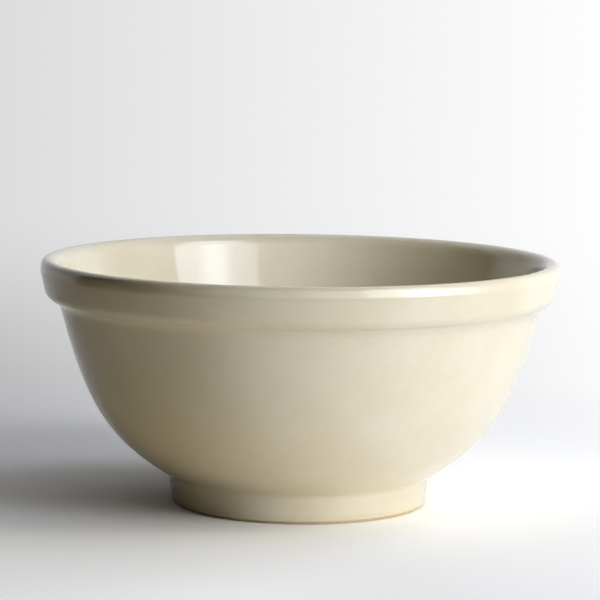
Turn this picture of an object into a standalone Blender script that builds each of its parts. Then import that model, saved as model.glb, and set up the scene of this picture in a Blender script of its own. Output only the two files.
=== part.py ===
"""Collared salad bowl: one turned stoneware body on a dry foot ring, and the two coats of glaze fused to it.

Metres, +Z up. The origin is the centre of the foot ring's resting face, and the bowl's axis is +Z.
Every outline is a list of (radius, height) points that is walked with the clay on its right.
"""

import math

import bpy
from mathutils import Matrix, Vector
from mathutils.geometry import interpolate_bezier

# Overall size of the glazed bowl
RIM_DIAMETER = 0.2500
HEIGHT = 0.1182

# Lip, rounded over from its crown more tightly outside than inside, with a fuller shoulder below
LIP_CROWN_RADIUS = 0.0032
LIP_INNER_RADIUS = 0.0070
LIP_SHOULDER_RADIUS = 0.0085
LIP_SHOULDER_START = 17.0  # degrees above level that the shoulder faces where it leaves the crown

# Collar, the band below the lip, which narrows downwards and is undercut
COLLAR_LEAN = 12.1  # degrees from upright
COLLAR_FACE = 0.0084
COLLAR_CORNER_RADIUS = 0.0067
COLLAR_UNDERCUT = 75.0  # degrees below level that the end of the corner faces
COLLAR_FILLET = 0.0035

# Wall, from the collar's undercut down to the foot
WALL_LEAN_OUTSIDE = 15.0  # degrees from upright, under the collar
WALL_LEAN_INSIDE = 16.0  # degrees from upright, below the lip
WALL_PULL_TOP = 0.0485  # how firmly the outside keeps its lean as it leaves the collar
WALL_PULL_FOOT = 0.0352  # how firmly it keeps its slope as it nears the foot
WALL_SLOPE_AT_FOOT = 32.0  # degrees above level
WALL_THICKNESS = 0.0070  # clay and glaze together, across the belly
BELLY_OUTSIDE = 0.50  # share of the outside curve at which the belly lies
BELLY_INSIDE = 0.61  # share of the inside curve, from the floor, that lies across from it

# Foot ring, and the well inside it
FOOT_DIAMETER = 0.1228
FOOT_HEIGHT = 0.0136
FOOT_TAPER = 6.5  # degrees from upright, narrowing downwards
FOOT_FILLET = 0.0040
FOOT_RING_WIDTH = 0.0090
DRY_EDGE_RADIUS = 0.0008
WELL_DRAFT = 12.0  # degrees from upright
WELL_DEPTH = 0.0065
WELL_FILLET = 0.0035
FLOOR_THICKNESS = 0.0085

# Glaze
GLAZE_THICKNESS = 0.0004
GLAZE_SEAT = 0.0003  # keeps the coat's solid clear of the clay's
GLAZE_LINE = 0.0012  # height of the dry foot below the glaze

# Smoothness of the turned surfaces
TURN_STEPS = 52
ARC_STEP = 22.5  # most degrees that one facet of an arc turns
WALL_FACETS = 7
INSIDE_FACETS = 8

RIM_RADIUS = RIM_DIAMETER / 2
FOOT_RADIUS = FOOT_DIAMETER / 2
FLOOR_HEIGHT = WELL_DEPTH + FLOOR_THICKNESS
OUT, UP, IN, DOWN = 0.0, 90.0, 180.0, -90.0


def heading(degrees):
    """Unit vector in the (radius, height) plane, turned up from the outward direction."""
    return Vector((math.cos(math.radians(degrees)), math.sin(math.radians(degrees))))


def arc(centre, radius, start, end):
    """Points of an arc, from one heading of its radius to another."""
    facets = math.ceil(abs(end - start) / ARC_STEP)
    return [centre + radius * heading(start + (end - start) * i / facets) for i in range(facets + 1)]


def rounded_corner(corner, before, after, radius):
    """Arc that rounds the corner between two straight legs, each given as its heading from the corner."""
    half = heading(before).angle(heading(after)) / 2
    centre = corner + (heading(before) + heading(after)).normalized() * radius / math.sin(half)
    first, last = (corner + heading(leg) * radius / math.tan(half) - centre for leg in (before, after))
    start = math.degrees(math.atan2(first.y, first.x))
    return arc(centre, radius, start, start - math.degrees(first.angle_signed(last)))


def curve(controls, facets):
    """Points of a cubic curve, both ends included."""
    return interpolate_bezier(*controls, facets + 1)


def tangent(controls, share):
    """The two points whose line touches a cubic curve at a share of its way."""
    while len(controls) > 2:
        controls = [start.lerp(end, share) for start, end in zip(controls, controls[1:])]
    return controls


def right_of(travel):
    """Unit vector to the right of a direction of travel."""
    return Vector((travel.y, -travel.x)).normalized()


def beyond(end, neighbour):
    """Where an outline would go on past its end: mirrored in the axis it ends on, or straight."""
    return Vector((-neighbour.x, neighbour.y)) if end.x == 0 else 2 * end - neighbour


def inset(outline, depth):
    """The outline moved by a depth into the clay."""
    walk = [beyond(outline[0], outline[1]), *outline, beyond(outline[-1], outline[-2])]
    moved = []
    for before, point, after in zip(walk, walk[1:], walk[2:]):
        come, go = (point - before).normalized(), (after - point).normalized()
        moved.append(point + right_of(come + go) * depth / math.cos(come.angle(go) / 2))
    return moved


def lip_outline():
    """From the top of the inside wall over the crown and its shoulder to the top of the collar."""
    between = (LIP_SHOULDER_RADIUS - LIP_CROWN_RADIUS) * heading(LIP_SHOULDER_START)
    crown_centre = Vector((RIM_RADIUS - LIP_SHOULDER_RADIUS + between.x, HEIGHT - LIP_CROWN_RADIUS))
    shoulder_centre = crown_centre - between
    inner_centre = Vector((crown_centre.x, HEIGHT - LIP_INNER_RADIUS))
    inner = arc(inner_centre, LIP_INNER_RADIUS, IN - WALL_LEAN_INSIDE, UP)
    crown = arc(crown_centre, LIP_CROWN_RADIUS, UP, LIP_SHOULDER_START)
    shoulder = arc(shoulder_centre, LIP_SHOULDER_RADIUS, LIP_SHOULDER_START, OUT)
    collar_start = arc(shoulder_centre, LIP_SHOULDER_RADIUS, OUT, -COLLAR_LEAN)
    return inner + crown[1:] + shoulder[1:] + collar_start[1:]


def collar_outline(collar_top):
    """From the foot of the collar's face round its corner and through the fillet of its undercut."""
    face_foot = collar_top + COLLAR_FACE * heading(DOWN - COLLAR_LEAN)
    corner_centre = face_foot - COLLAR_CORNER_RADIUS * heading(-COLLAR_LEAN)
    corner = arc(corner_centre, COLLAR_CORNER_RADIUS, -COLLAR_LEAN, -COLLAR_UNDERCUT)
    fillet_centre = corner[-1] + COLLAR_FILLET * heading(-COLLAR_UNDERCUT)
    fillet = arc(fillet_centre, COLLAR_FILLET, IN - COLLAR_UNDERCUT, IN - WALL_LEAN_OUTSIDE)
    return corner + fillet[1:]


def outside_controls(wall_top, wall_foot):
    """Control points of the outside of the wall, from the collar to the foot."""
    top_handle = wall_top + WALL_PULL_TOP * heading(DOWN - WALL_LEAN_OUTSIDE)
    foot_handle = wall_foot + WALL_PULL_FOOT * heading(WALL_SLOPE_AT_FOOT)
    return [wall_top, top_handle, foot_handle, wall_foot]


def inside_controls(outside, lip_start):
    """Control points of the inside, from the middle of the floor to the lip.

    The curve leaves the floor level, meets the lip at the inside's lean and passes a wall's thickness
    inside the belly of the outside. Those three settle how far each of its handles pulls.
    """
    above, below = tangent(outside, BELLY_OUTSIDE)
    belly = above.lerp(below, BELLY_OUTSIDE) + WALL_THICKNESS * right_of(below - above)
    floor = Vector((0, FLOOR_HEIGHT))
    along_floor, down_wall = heading(OUT), heading(DOWN - WALL_LEAN_INSIDE)
    share, rest = BELLY_INSIDE, 1 - BELLY_INSIDE
    unpulled = floor * (rest**3 + 3 * rest**2 * share) + lip_start * (3 * rest * share**2 + share**3)
    per_pull = Matrix((3 * rest**2 * share * along_floor, 3 * rest * share**2 * down_wall)).transposed()
    floor_pull, wall_pull = per_pull.inverted() @ (belly - unpulled)
    return [floor, floor + floor_pull * along_floor, lip_start + wall_pull * down_wall, lip_start]


def foot_side(height, depth=0.0):
    """Point at a height on the foot's tapering outer side, or on a side parallel to it in the clay."""
    taper = math.radians(FOOT_TAPER)
    return Vector((FOOT_RADIUS + height * math.tan(taper) - depth / math.cos(taper), height))


def well_side(height, depth=0.0):
    """Point at a height on the foot ring's inner side, or on a side parallel to it in the clay."""
    draft = math.radians(WELL_DRAFT)
    return Vector((FOOT_RADIUS - FOOT_RING_WIDTH - height * math.tan(draft) + depth / math.cos(draft), height))


def skin_outline():
    """The glazed surface, from the middle of the floor up the inside, over the lip and down to the dry foot."""
    lip = lip_outline()
    collar = collar_outline(lip[-1])
    foot = rounded_corner(foot_side(FOOT_HEIGHT), WALL_SLOPE_AT_FOOT, DOWN - FOOT_TAPER, FOOT_FILLET)
    outside = outside_controls(collar[-1], foot[0])
    inside = inside_controls(outside, lip[0])
    floor_to_lip = curve(inside, INSIDE_FACETS)[:-1]
    collar_to_foot = curve(outside, WALL_FACETS)[1:-1]
    return [*floor_to_lip, *lip, *collar, *collar_to_foot, *foot, foot_side(GLAZE_LINE)]


def well_outline():
    """The glazed surface underneath, from the dry foot up the foot ring's inner side to the middle of the well."""
    corner = rounded_corner(well_side(WELL_DEPTH), DOWN + WELL_DRAFT, IN, WELL_FILLET)
    return [well_side(GLAZE_LINE), *corner, Vector((0, WELL_DEPTH))]


def body_outline():
    """The clay: both glazed surfaces drawn in by their coat, and the dry foot between them."""
    depth = GLAZE_THICKNESS + GLAZE_SEAT
    outer_edge = rounded_corner(foot_side(0, depth), UP - FOOT_TAPER, IN, DRY_EDGE_RADIUS)
    inner_edge = rounded_corner(well_side(0, depth), OUT, UP + WELL_DRAFT, DRY_EDGE_RADIUS)
    return [*inset(skin_outline(), depth), *outer_edge, *inner_edge, *inset(well_outline(), depth)]


def finish(name, colour, roughness):
    """A plain material of one colour."""
    material = bpy.data.materials.new(name)
    material.use_nodes = True
    shader = material.node_tree.nodes["Principled BSDF"]
    shader.inputs["Base Color"].default_value = (*colour, 1.0)
    shader.inputs["Roughness"].default_value = roughness
    shader.inputs["Metallic"].default_value = 0.0
    return material


def turned(name, outline, material, axis, collection):
    """An object made by turning an outline once about the bowl's axis."""
    mesh = bpy.data.meshes.new(name)
    edges = [(i, i + 1) for i in range(len(outline) - 1)]
    mesh.from_pydata([(point.x, 0, point.y) for point in outline], edges, [])
    mesh.materials.append(material)
    piece = bpy.data.objects.new(name, mesh)
    piece.parent = axis
    collection.objects.link(piece)
    screw = piece.modifiers.new("turn", "SCREW")
    screw.axis = "Z"
    screw.angle = math.tau
    screw.steps = screw.render_steps = TURN_STEPS
    screw.use_merge_vertices = True
    screw.merge_threshold = 0.00001
    screw.use_smooth_shade = True
    return piece


def coat(name, outline, material, axis, collection):
    """A coat of glaze: the surface that its outline turns, thickened towards the clay."""
    piece = turned(name, outline, material, axis, collection)
    shell = piece.modifiers.new("thickness", "SOLIDIFY")
    shell.thickness = GLAZE_THICKNESS
    shell.offset = -1.0
    shell.use_even_offset = True
    return piece


def build_bowl():
    for old in list(bpy.data.objects):
        bpy.data.objects.remove(old)
    collection = bpy.data.collections.new("salad_bowl")
    bpy.context.scene.collection.children.link(collection)
    axis = bpy.data.objects.new("bowl_axis", None)
    collection.objects.link(axis)
    stoneware = finish("bare_stoneware", (0.52, 0.38, 0.22), 0.85)
    glaze = finish("cream_glaze", (0.80, 0.73, 0.52), 0.12)
    turned("stoneware_body", body_outline(), stoneware, axis, collection)
    coat("glaze_coat", skin_outline(), glaze, axis, collection)
    coat("foot_well_glaze", well_outline(), glaze, axis, collection)


build_bowl()
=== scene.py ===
"""Looks of the collared salad bowl: its glaze, its bare clay, and a plain studio with a window to the right.

Metres, +Z up, in the part's own frame. Every outline is a list of (radius, height) points that is walked
with the clay on its right: from the middle of the floor over the lip to the foot, then up into the well.
"""

import math

import bpy
from mathutils import Euler, Matrix, Vector
from mathutils.geometry import interpolate_bezier


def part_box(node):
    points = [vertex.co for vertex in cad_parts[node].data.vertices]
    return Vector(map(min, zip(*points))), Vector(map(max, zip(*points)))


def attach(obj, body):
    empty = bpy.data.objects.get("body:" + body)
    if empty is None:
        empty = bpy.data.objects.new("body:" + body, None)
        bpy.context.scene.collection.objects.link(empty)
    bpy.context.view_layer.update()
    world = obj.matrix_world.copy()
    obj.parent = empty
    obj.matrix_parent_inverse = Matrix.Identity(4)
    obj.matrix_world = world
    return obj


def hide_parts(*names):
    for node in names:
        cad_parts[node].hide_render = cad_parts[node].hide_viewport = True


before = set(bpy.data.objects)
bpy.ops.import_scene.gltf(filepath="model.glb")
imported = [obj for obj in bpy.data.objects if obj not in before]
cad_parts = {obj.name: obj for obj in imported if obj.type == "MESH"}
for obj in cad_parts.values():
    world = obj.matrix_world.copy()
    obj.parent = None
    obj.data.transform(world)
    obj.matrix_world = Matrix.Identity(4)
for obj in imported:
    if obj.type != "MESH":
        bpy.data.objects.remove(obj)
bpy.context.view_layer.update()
coat_low, coat_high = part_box("glaze_coat")
clay_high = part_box("stoneware_body")[1]

# Sizes that the frame gives
RIM_RADIUS = coat_high.x
HEIGHT = coat_high.z
GLAZE_LINE = coat_low.z
COAT_DEPTH = coat_high.x - clay_high.x  # from the face of the glaze to the clay

# Lip and collar. Glaze half fills the hollow under the collar, which is shallower than in the solid.
LIP_CROWN_RADIUS = 0.0032
LIP_INNER_RADIUS = 0.0070
LIP_SHOULDER_RADIUS = 0.0085
LIP_SHOULDER_START = 17.0  # degrees above level that the shoulder faces where it leaves the crown
COLLAR_LEAN = 12.1  # degrees from upright
COLLAR_FACE = 0.0084
COLLAR_CORNER_RADIUS = 0.0067
COLLAR_UNDERCUT = 62.0  # degrees below level that the end of the corner faces
COLLAR_SLOPE = 0.0006  # straight run between the corner and the fillet
COLLAR_FILLET = 0.0080

# Wall
WALL_LEAN_OUTSIDE = 15.0  # degrees from upright, under the collar
WALL_LEAN_INSIDE = 16.0  # degrees from upright, below the lip
WALL_PULL_TOP = 0.0462
WALL_PULL_FOOT = 0.0352
WALL_SLOPE_AT_FOOT = 32.0  # degrees above level
WALL_THICKNESS = 0.0070
BELLY_OUTSIDE = 0.50  # share of the outside curve at which the belly lies
BELLY_INSIDE = 0.61  # share of the inside curve, from the floor, that lies across from it

# Foot ring, and the well inside it
FOOT_RADIUS = 0.0614
FOOT_HEIGHT = 0.0136
FOOT_TAPER = 6.5  # degrees from upright
FOOT_FILLET = 0.0040
FOOT_RING_WIDTH = 0.0090
DRY_EDGE_RADIUS = 0.0008
WELL_DRAFT = 12.0  # degrees from upright
WELL_DEPTH = 0.0065
WELL_FILLET = 0.0035
FLOOR_HEIGHT = 0.0150

# Smoothness of the turned surfaces
TURN_STEPS = 200
ARC_STEP = 6.0  # most degrees that one facet of an arc turns
WALL_FACETS = 36
INSIDE_FACETS = 48
FACE_FACETS = 6
FOOT_FACETS = 6
WELL_FACETS = 20
SHEET = 1.0  # side of the flat sheet that is turned
LEVEL = (1.0, 1.0, 0.0)  # what is kept of a place to push it outwards
SEAM = 0.000001  # vertices nearer than this are one, along the seam and on the axis

COAT_SHARE = 0.9  # share of its depth at which a coat's back lies, just short of the clay

# Hand of the maker: how far the turning is out of round, and how the glaze thins where the clay bends
OUT_OF_ROUND = 0.0008  # share of the radius
WAVES_PER_METRE = 14.0
WAVE_DETAIL = 1.0
ROUNDNESS_SEED = 3.0
THIN_BEND = 320.0  # bend, in radians per metre, at which the glaze is thinnest
THIN_REACH = 0.0016  # how far along the surface a bend thins the glaze

# Headings, in degrees
OUT, UP, IN, DOWN = 0.0, 90.0, 180.0, -90.0


def heading(degrees):
    """Unit vector in the (radius, height) plane, turned up from the outward direction."""
    return Vector((math.cos(math.radians(degrees)), math.sin(math.radians(degrees))))


def arc(centre, radius, start, end):
    """Points of an arc, from one heading of its radius to another."""
    facets = math.ceil(abs(end - start) / ARC_STEP)
    return [centre + radius * heading(start + (end - start) * i / facets) for i in range(facets + 1)]


def rounded_corner(corner, before, after, radius):
    """Arc that rounds the corner between two straight legs, each given as its heading from the corner."""
    half = heading(before).angle(heading(after)) / 2
    centre = corner + (heading(before) + heading(after)).normalized() * radius / math.sin(half)
    first, last = (corner + heading(leg) * radius / math.tan(half) - centre for leg in (before, after))
    start = math.degrees(math.atan2(first.y, first.x))
    return arc(centre, radius, start, start - math.degrees(first.angle_signed(last)))


def straight(start, end, facets):
    """Points between two ends, without either."""
    return [start.lerp(end, i / facets) for i in range(1, facets)]


def curve(controls, facets):
    """Points of a cubic curve, both ends included."""
    return interpolate_bezier(*controls, facets + 1)


def tangent(controls, share):
    """The two points whose line touches a cubic curve at a share of its way."""
    while len(controls) > 2:
        controls = [start.lerp(end, share) for start, end in zip(controls, controls[1:])]
    return controls


def right_of(travel):
    """Unit vector to the right of a direction of travel."""
    return Vector((travel.y, -travel.x)).normalized()


def beyond(end, neighbour):
    """Where an outline would go on past its end: mirrored in the axis it ends on, or straight."""
    return Vector((-neighbour.x, neighbour.y)) if end.x == 0 else 2 * end - neighbour


def walked(outline):
    """Every point of an outline between the points before and after it."""
    walk = [beyond(outline[0], outline[1]), *outline, beyond(outline[-1], outline[-2])]
    return zip(walk, walk[1:], walk[2:])


def inset(outline, depth):
    """The outline moved by a depth into the clay."""
    moved = []
    for before, point, after in walked(outline):
        come, go = (point - before).normalized(), (after - point).normalized()
        moved.append(point + right_of(come + go) * depth / math.cos(come.angle(go) / 2))
    return moved


def foot_side(height, depth=0.0):
    """Point at a height on the foot's outer side, or on a side parallel to it in the clay."""
    taper = math.radians(FOOT_TAPER)
    return Vector((FOOT_RADIUS + height * math.tan(taper) - depth / math.cos(taper), height))


def well_side(height, depth=0.0):
    """Point at a height on the foot ring's inner side, or on a side parallel to it in the clay."""
    draft = math.radians(WELL_DRAFT)
    radius = FOOT_RADIUS - FOOT_RING_WIDTH - height * math.tan(draft) + depth / math.cos(draft)
    return Vector((radius, height))


def lip_outline():
    """From the top of the inside wall over the crown and its shoulder to the top of the collar."""
    between = (LIP_SHOULDER_RADIUS - LIP_CROWN_RADIUS) * heading(LIP_SHOULDER_START)
    crown_centre = Vector((RIM_RADIUS - LIP_SHOULDER_RADIUS + between.x, HEIGHT - LIP_CROWN_RADIUS))
    inner_centre = Vector((crown_centre.x, HEIGHT - LIP_INNER_RADIUS))
    inner = arc(inner_centre, LIP_INNER_RADIUS, IN - WALL_LEAN_INSIDE, UP)
    crown = arc(crown_centre, LIP_CROWN_RADIUS, UP, LIP_SHOULDER_START)
    shoulder = arc(crown_centre - between, LIP_SHOULDER_RADIUS, LIP_SHOULDER_START, -COLLAR_LEAN)
    return inner + crown[1:] + shoulder[1:]


def collar_outline(collar_top):
    """Down the collar's face, round its corner and through the fillet of its undercut."""
    face_foot = collar_top + COLLAR_FACE * heading(DOWN - COLLAR_LEAN)
    corner_centre = face_foot - COLLAR_CORNER_RADIUS * heading(-COLLAR_LEAN)
    corner = arc(corner_centre, COLLAR_CORNER_RADIUS, -COLLAR_LEAN, -COLLAR_UNDERCUT)
    slope_end = corner[-1] + COLLAR_SLOPE * heading(DOWN - COLLAR_UNDERCUT)
    fillet_centre = slope_end + COLLAR_FILLET * heading(-COLLAR_UNDERCUT)
    fillet = arc(fillet_centre, COLLAR_FILLET, IN - COLLAR_UNDERCUT, IN - WALL_LEAN_OUTSIDE)
    return straight(collar_top, face_foot, FACE_FACETS) + corner + fillet


def inside_controls(outside, lip_start):
    """Controls of the inside, level where it leaves the floor and a wall's thickness in from the belly."""
    above, below = tangent(outside, BELLY_OUTSIDE)
    belly = above.lerp(below, BELLY_OUTSIDE) + WALL_THICKNESS * right_of(below - above)
    floor = Vector((0, FLOOR_HEIGHT))
    along_floor, down_wall = heading(OUT), heading(DOWN - WALL_LEAN_INSIDE)
    share, rest = BELLY_INSIDE, 1 - BELLY_INSIDE
    unpulled = floor * (rest**3 + 3 * rest**2 * share) + lip_start * (3 * rest * share**2 + share**3)
    per_pull = Matrix((3 * rest**2 * share * along_floor, 3 * rest * share**2 * down_wall)).transposed()
    floor_pull, wall_pull = per_pull.inverted() @ (belly - unpulled)
    return [floor, floor + floor_pull * along_floor, lip_start + wall_pull * down_wall, lip_start]


def skin_outline():
    """The glazed surface, from the middle of the floor up the inside, over the lip and down to the foot."""
    lip = lip_outline()
    collar = collar_outline(lip[-1])
    foot = rounded_corner(foot_side(FOOT_HEIGHT), WALL_SLOPE_AT_FOOT, DOWN - FOOT_TAPER, FOOT_FILLET)
    top_handle = collar[-1] + WALL_PULL_TOP * heading(DOWN - WALL_LEAN_OUTSIDE)
    foot_handle = foot[0] + WALL_PULL_FOOT * heading(WALL_SLOPE_AT_FOOT)
    outside = [collar[-1], top_handle, foot_handle, foot[0]]
    floor_to_lip = curve(inside_controls(outside, lip[0]), INSIDE_FACETS)[:-1]
    collar_to_foot = curve(outside, WALL_FACETS)[1:-1]
    end = foot_side(GLAZE_LINE + COAT_DEPTH / 2)
    foot_to_end = straight(foot[-1], end, FOOT_FACETS)
    return [*floor_to_lip, *lip, *collar, *collar_to_foot, *foot, *foot_to_end, end]


def well_outline():
    """The glazed surface underneath, from the dry foot up the ring's inner side to the well's middle."""
    corner = rounded_corner(well_side(WELL_DEPTH), DOWN + WELL_DRAFT, IN, WELL_FILLET)
    middle = Vector((0, WELL_DEPTH))
    start = well_side(GLAZE_LINE + COAT_DEPTH / 2)
    side = straight(start, corner[0], FOOT_FACETS)
    return [start, *side, *corner, *straight(corner[-1], middle, WELL_FACETS), middle]


def clay_outline():
    """The clay under both coats, and the dry foot between them."""
    outer_edge = rounded_corner(foot_side(0, COAT_DEPTH), UP - FOOT_TAPER, IN, DRY_EDGE_RADIUS)
    inner_edge = rounded_corner(well_side(0, COAT_DEPTH), OUT, UP + WELL_DRAFT, DRY_EDGE_RADIUS)
    face = straight(outer_edge[-1], inner_edge[0], FOOT_FACETS)
    skin, well = inset(skin_outline(), COAT_DEPTH), inset(well_outline(), COAT_DEPTH)
    return [*skin, *outer_edge, *face, *inner_edge, *well]


def bead(start, end):
    """The rounded edge in which a coat ends, between its skin and its back, without either."""
    centre = start.lerp(end, 0.5)
    spoke = start - centre
    first = math.degrees(math.atan2(spoke.y, spoke.x))
    return arc(centre, spoke.length, first, first - IN)[1:-1]


def coat_outline(skin):
    """Both faces of a coat and the bead at the dry foot, from the bowl's axis to its axis again."""
    back = inset(skin, COAT_SHARE * COAT_DEPTH)
    back.reverse()
    if skin[0].x == 0:
        return [*skin, *bead(skin[-1], back[0]), *back]
    return [*back, *bead(back[-1], skin[0]), *skin]


def thinness(outline):
    """How thinly glaze lies at each point: 1 where it drew off an edge, -1 where it pooled in a hollow."""
    bends, reached = [], [0.0]
    for before, point, after in walked(outline):
        come, go = point - before, after - point
        bends.append(come.angle_signed(go, 0.0) / THIN_BEND)
        reached.append(reached[-1] + go.length)
    values = []
    for here in reached[:-1]:
        pull = [math.exp(-0.5 * ((there - here) / THIN_REACH) ** 2) for there in reached[:-1]]
        total = sum(bend * share for bend, share in zip(bends, pull)) / (THIN_REACH * math.sqrt(math.tau))
        values.append(max(-1.0, min(1.0, total)))
    return values


def node(tree, kind, inputs=None, **settings):
    """A new node with its settings, and with its inputs set to values or linked to other nodes' outputs."""
    made = tree.nodes.new(kind)
    for key, value in settings.items():
        setattr(made, key, value)
    for key, value in (inputs or {}).items():
        if isinstance(value, bpy.types.NodeSocket):
            tree.links.new(value, made.inputs[key])
        else:
            made.inputs[key].default_value = value
    return made


def result(tree, kind, inputs=None, **settings):
    """The first output of a new node."""
    return node(tree, kind, inputs, **settings).outputs[0]


def maths(tree, operation, *terms):
    """The result of one operation on numbers."""
    return result(tree, "ShaderNodeMath", dict(enumerate(terms)), operation=operation)


def times(tree, first, second):
    """The product of two numbers."""
    return maths(tree, "MULTIPLY", first, second)


def spread(tree, value, start, end, low=0.0, high=1.0, easing="SMOOTHSTEP"):
    """A value's way from a start to an end, as a way from low to high."""
    ends = {"Value": value, "From Min": start, "From Max": end, "To Min": low, "To Max": high}
    return result(tree, "ShaderNodeMapRange", ends, interpolation_type=easing)


def weigh(tree, share, first, second):
    """A number between two others."""
    return result(tree, "ShaderNodeMix", {0: share, 2: first, 3: second})


def blend(tree, share, first, second):
    """A colour between two others."""
    return node(tree, "ShaderNodeMix", {0: share, 6: first, 7: second}, data_type="RGBA").outputs[2]


def distance(tree, place, centre):
    """How far a place is from a centre."""
    return node(tree, "ShaderNodeVectorMath", {0: place, 1: centre}, operation="DISTANCE").outputs["Value"]


def turning_tree():
    """Geometry nodes that turn an outline, one vertex for each point, about the bowl's axis."""
    tree = bpy.data.node_groups.new("turn_outline", "GeometryNodeTree")
    for label, kind in (
        ("Outline", "Geometry"),
        ("Turn Steps", "Int"),
        ("Out of Round", "Float"),
        ("Waves per Metre", "Float"),
        ("Seed", "Float"),
        ("Finish", "Material"),
    ):
        tree.interface.new_socket(label, in_out="INPUT", socket_type="NodeSocket" + kind)
    tree.interface.new_socket("Surface", in_out="OUTPUT", socket_type="NodeSocketGeometry")
    given = node(tree, "NodeGroupInput").outputs
    position = result(tree, "GeometryNodeInputPosition")

    # a flat sheet with a row of vertices for each point of the outline
    size = node(tree, "GeometryNodeAttributeDomainSize", {"Geometry": given["Outline"]}, component="MESH")
    points = size.outputs["Point Count"]
    columns = maths(tree, "ADD", given["Turn Steps"], 1.0)
    rows = {"Size X": SHEET, "Size Y": SHEET, "Vertices X": columns, "Vertices Y": points}
    sheet = node(tree, "GeometryNodeMeshGrid", rows).outputs["Mesh"]
    place = node(tree, "ShaderNodeSeparateXYZ", {0: position}).outputs
    last = maths(tree, "SUBTRACT", points, 1.0)
    along = spread(tree, place["Y"], -SHEET / 2, SHEET / 2, 0.0, last, easing="LINEAR")
    row = result(tree, "FunctionNodeFloatToInt", {0: along}, rounding_mode="ROUND")

    # each row takes its point's thinness and place, and is turned about the axis
    thin = result(tree, "GeometryNodeInputNamedAttribute", {"Name": "thinness"}, data_type="FLOAT")
    of_row = {"Geometry": given["Outline"], "Index": row}
    thin_here = result(tree, "GeometryNodeSampleIndex", {**of_row, "Value": thin}, data_type="FLOAT")
    point = result(tree, "GeometryNodeSampleIndex", {**of_row, "Value": position}, data_type="FLOAT_VECTOR")
    angle = spread(tree, place["X"], -SHEET / 2, SHEET / 2, math.tau, 0.0, easing="LINEAR")
    swung = result(tree, "ShaderNodeVectorRotate", {"Vector": point, "Angle": angle}, rotation_type="Z_AXIS")
    mark = {"Geometry": sheet, "Name": "thinness", "Value": thin_here}
    marked = result(tree, "GeometryNodeStoreNamedAttribute", mark)
    turned = result(tree, "GeometryNodeSetPosition", {"Geometry": marked, "Position": swung})
    closed = result(tree, "GeometryNodeMergeByDistance", {"Geometry": turned, "Distance": SEAM})

    # the hand of the maker: a slow swelling and shrinking of the radius
    wave = {"Vector": position, "W": given["Seed"], "Scale": given["Waves per Metre"], "Detail": WAVE_DETAIL}
    waves = node(tree, "ShaderNodeTexNoise", wave, noise_dimensions="4D", normalize=False).outputs["Fac"]
    outward = result(tree, "ShaderNodeVectorMath", {0: position, 1: LEVEL}, operation="MULTIPLY")
    share = times(tree, waves, given["Out of Round"])
    push = result(tree, "ShaderNodeVectorMath", {0: outward, "Scale": share}, operation="SCALE")
    uneven = result(tree, "GeometryNodeSetPosition", {"Geometry": closed, "Offset": push})
    smooth = result(tree, "GeometryNodeSetShadeSmooth", {"Geometry": uneven})
    real = result(tree, "GeometryNodeRealizeInstances", {"Geometry": smooth})
    finish = result(tree, "GeometryNodeSetMaterial", {"Geometry": real, "Material": given["Finish"]})
    node(tree, "NodeGroupOutput", {"Surface": finish})
    return tree


def turned_piece(name, outline, tree, finish):
    """A plain mesh of an outline turned about the bowl's axis."""
    mesh = bpy.data.meshes.new(name)
    edges = [(i, i + 1) for i in range(len(outline) - 1)]
    mesh.from_pydata([(point.x, 0, point.y) for point in outline], edges, [])
    mesh.attributes.new("thinness", "FLOAT", "POINT").data.foreach_set("value", thinness(outline))
    piece = bpy.data.objects.new(name, mesh)
    bpy.context.scene.collection.objects.link(piece)
    turning = piece.modifiers.new("turn", "NODES")
    turning.node_group = tree
    sizes = {
        "Turn Steps": TURN_STEPS,
        "Out of Round": OUT_OF_ROUND,
        "Waves per Metre": WAVES_PER_METRE,
        "Seed": ROUNDNESS_SEED,
        "Finish": finish,
    }
    for socket in tree.interface.items_tree:
        if socket.name in sizes:
            turning[socket.identifier] = sizes[socket.name]
    evaluated = piece.evaluated_get(bpy.context.evaluated_depsgraph_get())
    solid = bpy.data.meshes.new_from_object(evaluated)
    piece.modifiers.remove(turning)
    solid.materials.clear()
    solid.materials.append(finish)
    solid.name = name
    piece.data = solid
    return piece


# Detail of the noises, from smooth to gritty
SMOOTH_DETAIL = 1.0
CLOUD_DETAIL = 2.0
GRITTY_DETAIL = 3.0
NOISE_MIDDLE = 0.5


def principled(name):
    """A new material, its node tree and its Principled shader."""
    material = bpy.data.materials.new(name)
    material.use_nodes = True
    return material, material.node_tree, material.node_tree.nodes["Principled BSDF"]


def noise(tree, place, per_metre, detail):
    """Cloudy noise about its middle, with a number of clouds to the metre."""
    cloud = {"Vector": place, "Scale": per_metre, "Detail": detail}
    return node(tree, "ShaderNodeTexNoise", cloud).outputs["Fac"]


def specks(tree, place, per_metre, outer, inner, bare):
    """Round specks, soft from an outer to an inner radius, in loose cells of which a share is left bare."""
    cells = node(tree, "ShaderNodeTexVoronoi", {"Vector": place, "Scale": per_metre})
    round_shape = spread(tree, cells.outputs["Distance"], outer * per_metre, inner * per_metre)
    chance = result(tree, "ShaderNodeSeparateColor", {0: cells.outputs["Color"]})
    return times(tree, round_shape, spread(tree, chance, bare, 1.0))


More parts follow.
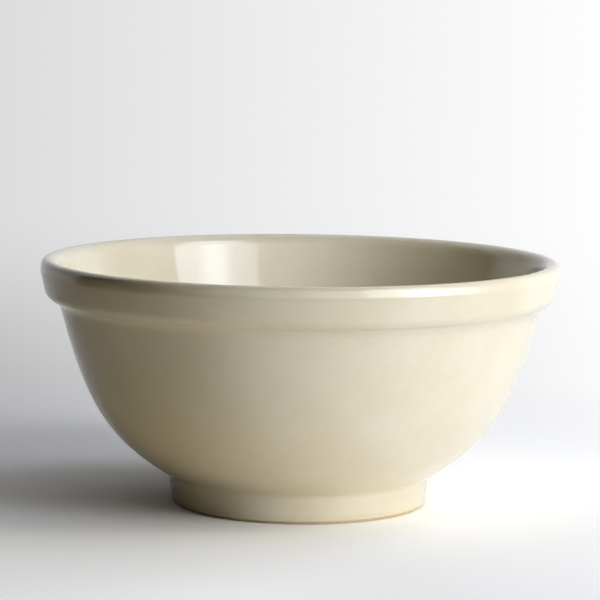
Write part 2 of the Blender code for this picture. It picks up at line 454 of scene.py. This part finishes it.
# Glaze. Colours are linear. Specks are cells to the metre, outer and inner radius, and share of bare cells.
CREAM_PALE = (0.860, 0.800, 0.622, 1.0)
CREAM_WARM = (0.830, 0.757, 0.562, 1.0)
CREAM_THIN = (0.790, 0.680, 0.450, 1.0)
CREAM_DEEP = (0.850, 0.780, 0.570, 1.0)
IRON_SPECK = (0.300, 0.170, 0.070, 1.0)
CLOUDS_PER_METRE = 26.0
MOTTLE_PER_METRE = 230.0
CLOUD_SHARE = 0.75  # the rest of the drift is mottle
WARM_DRIFT = (0.36, 0.64)  # drift at which the pale cream starts to turn warm, and has turned
FRAY = 0.5  # how much the mottle frays the thin edges
THIN_EDGE = (0.30, 1.25)  # thinness at which an edge starts, and is whole
THIN_STRENGTH = 0.45
POOL = (0.0, -1.0)  # thinness at which a pool starts, and is whole
POOL_STRENGTH = 0.5
IRON_SPECKS = (75.0, 0.00055, 0.00020, 0.35)
IRON_STRENGTH = 0.45
PIN_SPECKS = (240.0, 0.00028, 0.00010, 0.75)
PIN_STRENGTH = 0.30
DULL_DRIFT = (0.30, 0.70)  # drift over which the glaze goes from its glossiest to its dullest
GLAZE_ROUGHNESS = (0.055, 0.105)
EDGE_ROUGHNESS = 0.03  # added on the thin edges
GLAZE_IOR = 1.5
RIPPLES_PER_METRE = 45.0
RIPPLE_DEPTH = 0.00010
PEEL_PER_METRE = 620.0
PEEL_DEPTH = 0.000006


def cream_glaze():
    """Glossy cream glaze: cloudy, warm and dull where thin, deeper where it pooled, with iron specks."""
    material, tree, shader = principled("cream_glaze_look")
    place = node(tree, "ShaderNodeTexCoord").outputs["Object"]
    clouds = noise(tree, place, CLOUDS_PER_METRE, CLOUD_DETAIL)
    mottle = noise(tree, place, MOTTLE_PER_METRE, CLOUD_DETAIL)
    drift = maths(tree, "ADD", times(tree, clouds, CLOUD_SHARE), times(tree, mottle, 1 - CLOUD_SHARE))
    body = blend(tree, spread(tree, drift, *WARM_DRIFT), CREAM_PALE, CREAM_WARM)

    thin = node(tree, "ShaderNodeAttribute", attribute_name="thinness").outputs["Fac"]
    fray = times(tree, maths(tree, "SUBTRACT", mottle, NOISE_MIDDLE), FRAY)
    edge = spread(tree, maths(tree, "ADD", thin, fray), *THIN_EDGE)
    drawn = blend(tree, times(tree, edge, THIN_STRENGTH), body, CREAM_THIN)
    pooled = blend(tree, times(tree, spread(tree, thin, *POOL), POOL_STRENGTH), drawn, CREAM_DEEP)

    iron = times(tree, specks(tree, place, *IRON_SPECKS), IRON_STRENGTH)
    pin = times(tree, specks(tree, place, *PIN_SPECKS), PIN_STRENGTH)
    spotted = blend(tree, iron, pooled, IRON_SPECK)
    tree.links.new(blend(tree, pin, spotted, IRON_SPECK), shader.inputs["Base Color"])

    dullness = spread(tree, drift, *DULL_DRIFT, *GLAZE_ROUGHNESS)
    roughness = maths(tree, "ADD", dullness, times(tree, edge, EDGE_ROUGHNESS))
    tree.links.new(roughness, shader.inputs["Roughness"])
    shader.inputs["IOR"].default_value = GLAZE_IOR

    ripples = noise(tree, place, RIPPLES_PER_METRE, SMOOTH_DETAIL)
    ripple = result(tree, "ShaderNodeBump", {"Distance": RIPPLE_DEPTH, "Height": ripples})
    peels = noise(tree, place, PEEL_PER_METRE, SMOOTH_DETAIL)
    peel = result(tree, "ShaderNodeBump", {"Distance": PEEL_DEPTH, "Height": peels, "Normal": ripple})
    tree.links.new(peel, shader.inputs["Normal"])
    return material


# Bare clay
CLAY_PALE = (0.740, 0.580, 0.340, 1.0)
CLAY_TOASTED = (0.600, 0.420, 0.210, 1.0)
CLAY_GRIT = (0.220, 0.130, 0.060, 1.0)
PATCHES_PER_METRE = 60.0
TOAST_PATCH = (0.40, 0.65)  # noise at which a toasted patch starts, and is whole
RUBBED_EDGE = (0.3, 1.0)  # thinness at which a rubbed edge starts, and is whole
RUBBED_STRENGTH = 0.6
GRIT_SPECKS = (420.0, 0.00050, 0.00020, 0.60)
GRIT_STRENGTH = 0.7
GRAIN_PER_METRE = 900.0
GRAIN_DEPTH = 0.00012
ROUGH_GRAIN = (0.30, 0.70)  # noise over which the clay goes from its smoothest to its roughest
CLAY_ROUGHNESS = (0.80, 0.94)


def bare_stoneware():
    """Dry buff clay: gritty, toasted in patches, and rubbed paler on its edges."""
    material, tree, shader = principled("bare_stoneware_look")
    place = node(tree, "ShaderNodeTexCoord").outputs["Object"]
    patches = noise(tree, place, PATCHES_PER_METRE, GRITTY_DETAIL)
    grain = noise(tree, place, GRAIN_PER_METRE, GRITTY_DETAIL)
    toast = blend(tree, spread(tree, patches, *TOAST_PATCH), CLAY_PALE, CLAY_TOASTED)
    thin = node(tree, "ShaderNodeAttribute", attribute_name="thinness").outputs["Fac"]
    rubbed = times(tree, spread(tree, thin, *RUBBED_EDGE), RUBBED_STRENGTH)
    worn = blend(tree, rubbed, toast, CLAY_PALE)
    grit = times(tree, specks(tree, place, *GRIT_SPECKS), GRIT_STRENGTH)
    tree.links.new(blend(tree, grit, worn, CLAY_GRIT), shader.inputs["Base Color"])
    tree.links.new(spread(tree, grain, *ROUGH_GRAIN, *CLAY_ROUGHNESS), shader.inputs["Roughness"])
    rough = result(tree, "ShaderNodeBump", {"Distance": GRAIN_DEPTH, "Height": grain})
    tree.links.new(rough, shader.inputs["Normal"])
    return material


# Camera, which looks along +Y and down
CAMERA_PLACE = Vector((0.0, -1.3500, 0.2593))
CAMERA_TURN = -0.0002  # radians to the right
CAMERA_DIP = 0.1190  # radians below level
CAMERA_ROLL = 0.0114  # radians, anticlockwise
CAMERA_SENSOR = 36.0  # mm
CAMERA_LENS = 169.19  # mm


def add_camera():
    """The photo's view."""
    data = bpy.data.cameras.new("camera")
    data.sensor_width = CAMERA_SENSOR
    data.lens = CAMERA_LENS
    camera = bpy.data.objects.new("camera", data)
    aim = Euler((math.pi / 2 - CAMERA_DIP, 0, -CAMERA_TURN)).to_matrix()
    rolled = aim @ Matrix.Rotation(CAMERA_ROLL, 3, "Z")
    camera.matrix_world = Matrix.LocRotScale(CAMERA_PLACE, rolled, None)
    bpy.context.scene.collection.objects.link(camera)
    bpy.context.scene.camera = camera


# Studio. Azimuths go from the camera's side of the bowl towards the right. Soft lamps light the bowl and the
# floor. The panes of a tall window, and dim panes for the room to its left, are only seen in the glaze.
COOL = (0.95, 1.0, 1.24)
WARM = (1.03, 1.0, 0.84)
SKY = (0.93, 1.0, 1.15)
PLAIN = (0.98, 1.0, 1.05)
LAMPS = (
    # name, azimuth from and to, distance, height from and to, radiance, use, tint
    ("far_light", 42.0, 60.0, 3.00, 0.00, 1.44, 2.7, "lights", PLAIN),
    ("middle_light", 43.0, 63.0, 1.60, 0.00, 1.20, 5.4, "lights", PLAIN),
    ("near_light", 45.0, 57.0, 0.65, 0.16, 0.46, 4.5, "lights", COOL),
    ("high_light", 50.0, 68.0, 0.65, 0.52, 0.82, 9.8, "lights", WARM),
    ("side_light", 72.0, 97.0, 0.65, 0.50, 0.78, 3.2, "lights", COOL),
    ("rear_high_light", 100.0, 130.0, 0.65, 0.55, 0.85, 6.6, "lights", COOL),
    ("room_wide", -40.0, 25.5, 0.65, 0.05, 0.90, 0.4, "reflected", PLAIN),
    ("room_middle", -20.0, 25.5, 0.66, 0.05, 0.90, 0.5, "reflected", PLAIN),
    ("room_near", 0.0, 25.5, 0.67, 0.05, 0.90, 0.6, "reflected", PLAIN),
    ("window_wide", 25.5, 75.0, 0.65, 0.05, 0.70, 4.8, "reflected", SKY),
    ("window_middle", 41.0, 60.5, 0.66, 0.05, 0.70, 2.0, "reflected", SKY),
    ("window_core", 45.0, 56.0, 0.67, 0.05, 0.70, 1.8, "reflected", SKY),
    ("window_top", 38.0, 85.0, 0.65, 0.80, 1.15, 7.5, "reflected", SKY),
)


def around(azimuth, reach):
    """Point of the floor plan at a reach from the bowl's axis."""
    return reach * Vector((math.sin(math.radians(azimuth)), -math.cos(math.radians(azimuth)), 0))


def add_lamp(name, start, end, reach, low, high, radiance, use, tint):
    """An upright area lamp of a given radiance, between two azimuths and two heights, facing the bowl."""
    near, far = around(start, reach), around(end, reach)
    across, up = (far - near).normalized(), Vector((0, 0, 1))
    data = bpy.data.lights.new(name, "AREA")
    data.shape = "RECTANGLE"
    data.size, data.size_y = (far - near).length, high - low
    data.energy = radiance * math.pi * data.size * data.size_y
    data.color = tint
    lamp = bpy.data.objects.new(name, data)
    middle = (near + far) / 2 + up * (low + high) / 2
    turn = Matrix((across, up, across.cross(up))).transposed()
    lamp.matrix_world = Matrix.LocRotScale(middle, turn, None)
    lamp.visible_camera = False
    lamp.visible_glossy = use != "lights"
    lamp.visible_diffuse = use != "reflected"
    bpy.context.scene.collection.objects.link(lamp)


def mirrored(tree, path):
    """1 for what is seen in a gloss or through glass, and 0 for the rest."""
    return maths(tree, "MAXIMUM", path["Is Glossy Ray"], path["Is Transmission Ray"])


# Floor, first as it lights the bowl and then as it is seen. Pairs are where a change starts and ends.
FLOOR_HALF = 1.2
FLOOR_ROUGHNESS = 0.9
PLAIN_BOUNCE = (0.93, 0.93, 0.93, 1.0)  # what the floor gives back to the bowl on its lit side
WARM_BOUNCE = (0.98, 0.86, 0.56, 1.0)  # on its shaded side: painted shade, warm
DIM_BOUNCE = (0.36, 0.31, 0.22, 1.0)  # painted shade: darker far out on that side, and close beside the foot
BOUNCE_TURN = 0.10  # half the width, about the middle, over which warm turns plain
DIM_CENTRE = (-0.030, 0.005, 0.0)
DIM_NEAR = (0.060, 0.100)
DIM_FAR = (-0.13, -0.40)
FLOOR_SEEN = (1.0, 0.998, 0.985, 1.0)
FLOOR_LIFT = 0.20  # painted light: a glow of the open floor that no lamp gives, which also lights the bowl's lit side
LIFT_TINT = (1.0, 1.0, 1.0, 1.0)
LIFT_CENTRE = (0.0, 0.0, 0.0)
LIFT_AWAY = (0.045, 0.20)
LIFT_BEHIND = 0.3  # how much sooner it comes behind the bowl
LIFT_RIGHT = 0.22  # how much more of it is seen towards the back on the right
RIGHT_REACH = (0.0, 0.06)
BACK_REACH = (-0.10, 0.10)
LIFT_FRONT = 0.10  # and towards the left in front
LEFT_REACH = (0.06, -0.04)
FRONT_REACH = (-0.05, -0.15)
LIFT_DARK = (-0.40, -0.18)  # painted shade: the dark end of the room, to the left, where none of it is seen
FADE_CENTRE = (-0.12, -0.05, 0.0)
FADE_AWAY = (0.22, 0.55)


def add_floor():
    """A pale floor that keeps the bowl's shadow and fades into the backdrop."""
    mesh = bpy.data.meshes.new("floor")
    half = FLOOR_HALF
    corners = [(-half, -half, 0), (half, -half, 0), (half, half, 0), (-half, half, 0)]
    mesh.from_pydata(corners, [], [(0, 1, 2, 3)])
    floor = bpy.data.objects.new("floor", mesh)
    bpy.context.scene.collection.objects.link(floor)
    material, tree, shader = principled("floor")
    path = node(tree, "ShaderNodeLightPath").outputs
    seen = maths(tree, "MAXIMUM", path["Is Camera Ray"], mirrored(tree, path))
    shader.inputs["Roughness"].default_value = FLOOR_ROUGHNESS
    shader.inputs["Specular IOR Level"].default_value = 0.0
    shader.inputs["Emission Color"].default_value = LIFT_TINT
    place = node(tree, "ShaderNodeTexCoord").outputs["Object"]
    across, depth, _ = node(tree, "ShaderNodeSeparateXYZ", {0: place}).outputs

    # its colour; as it lights the bowl it holds painted shade, warm on the bowl's shaded side and dim far
    # out there and close beside the foot
    beside = spread(tree, distance(tree, place, DIM_CENTRE), *DIM_NEAR)
    dim = maths(tree, "MINIMUM", beside, spread(tree, across, *DIM_FAR, 1.0, 0.0))
    shaded = blend(tree, dim, DIM_BOUNCE, WARM_BOUNCE)
    lit = spread(tree, across, -BOUNCE_TURN, BOUNCE_TURN)
    bounce = blend(tree, lit, shaded, PLAIN_BOUNCE)
    tree.links.new(blend(tree, seen, bounce, FLOOR_SEEN), shader.inputs["Base Color"])

    # its lift, painted light: a glow that is none close beside the foot, which is painted shade there, and
    # fades out at the room's dark end
    behind = times(tree, maths(tree, "MAXIMUM", depth, 0.0), LIFT_BEHIND)
    outward = maths(tree, "ADD", distance(tree, place, LIFT_CENTRE), behind)
    open_floor = spread(tree, outward, *LIFT_AWAY, 0.0, FLOOR_LIFT, easing="LINEAR")
    right = times(tree, spread(tree, across, *RIGHT_REACH), spread(tree, depth, *BACK_REACH))
    left = times(tree, spread(tree, across, *LEFT_REACH), spread(tree, depth, *FRONT_REACH))
    more = maths(tree, "ADD", open_floor, times(tree, right, LIFT_RIGHT))
    more = maths(tree, "ADD", more, times(tree, left, LIFT_FRONT))
    more = times(tree, more, spread(tree, across, *LIFT_DARK))
    lift = maths(tree, "MAXIMUM", times(tree, seen, more), times(tree, lit, open_floor))
    tree.links.new(lift, shader.inputs["Emission Strength"])

    # its fading
    gone = times(tree, seen, spread(tree, distance(tree, place, FADE_CENTRE), *FADE_AWAY))
    clear = result(tree, "ShaderNodeBsdfTransparent")
    mix = result(tree, "ShaderNodeMixShader", {0: gone, 1: shader.outputs[0], 2: clear})
    tree.links.new(mix, tree.nodes["Material Output"].inputs["Surface"])
    mesh.materials.append(material)


# Backdrop, with painted shade: darker to the left and low down. Ways are the sideways, backward and upright
# parts of a view's or a ray's direction.
BACKDROP_LEFT = (0.51, 0.73)  # low down and higher up
BACKDROP_RIGHT = (0.965, 1.0)
BACKDROP_SIDE = 0.104  # sideways way at which either side is reached
BACKDROP_RISE = (-0.155, -0.085)  # upright ways of low down and higher up
BACKDROP_TINT = (0.985, 0.99, 1.0, 1.0)
SWEEP_BACK = (0.35, 0.50)  # backward ways at which the sweep starts, and is whole
SWEEP_LIGHT = 0.16  # what its upper part lights the bowl with
SWEEP_RISE = (0.45, 0.55)  # upright ways at which that part starts, and is whole


def add_world():
    """A white sweep behind the bowl with painted shade, brighter to the right, that lights from high up, and
    a dark room.
    """
    world = bpy.data.worlds.new("studio")
    bpy.context.scene.world = world
    world.use_nodes = True
    tree = world.node_tree
    direction = node(tree, "ShaderNodeTexCoord").outputs["Generated"]
    way = node(tree, "ShaderNodeSeparateXYZ", {0: direction}).outputs
    left = spread(tree, way["Z"], *BACKDROP_RISE, *BACKDROP_LEFT)
    right = spread(tree, way["Z"], *BACKDROP_RISE, *BACKDROP_RIGHT)
    backdrop = spread(tree, way["X"], -BACKDROP_SIDE, BACKDROP_SIDE, left, right, easing="LINEAR")
    behind = spread(tree, way["Y"], *SWEEP_BACK)
    light = times(tree, behind, spread(tree, way["Z"], *SWEEP_RISE, 0.0, SWEEP_LIGHT))
    path = node(tree, "ShaderNodeLightPath").outputs
    unseen = weigh(tree, mirrored(tree, path), light, times(tree, backdrop, behind))
    strength = weigh(tree, path["Is Camera Ray"], unseen, backdrop)
    tree.nodes["Background"].inputs["Color"].default_value = BACKDROP_TINT
    tree.links.new(strength, tree.nodes["Background"].inputs["Strength"])


add_camera()
add_world()
add_floor()
for lamp in LAMPS:
    add_lamp(*lamp)

tree = turning_tree()
glaze, clay = cream_glaze(), bare_stoneware()
coat = turned_piece("cream_coat", coat_outline(skin_outline()), tree, glaze)
well = turned_piece("well_coat", coat_outline(well_outline()), tree, glaze)
body = turned_piece("clay_body", clay_outline(), tree, clay)
for piece, cad_node, slot in (
    (coat, "glaze_coat", "cream_glaze"),
    (well, "foot_well_glaze", "cream_glaze"),
    (body, "stoneware_body", "bare_stoneware"),
):
    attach(piece, "root")
    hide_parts(cad_node)

bpy.context.scene.view_settings.view_transform = "Standard"
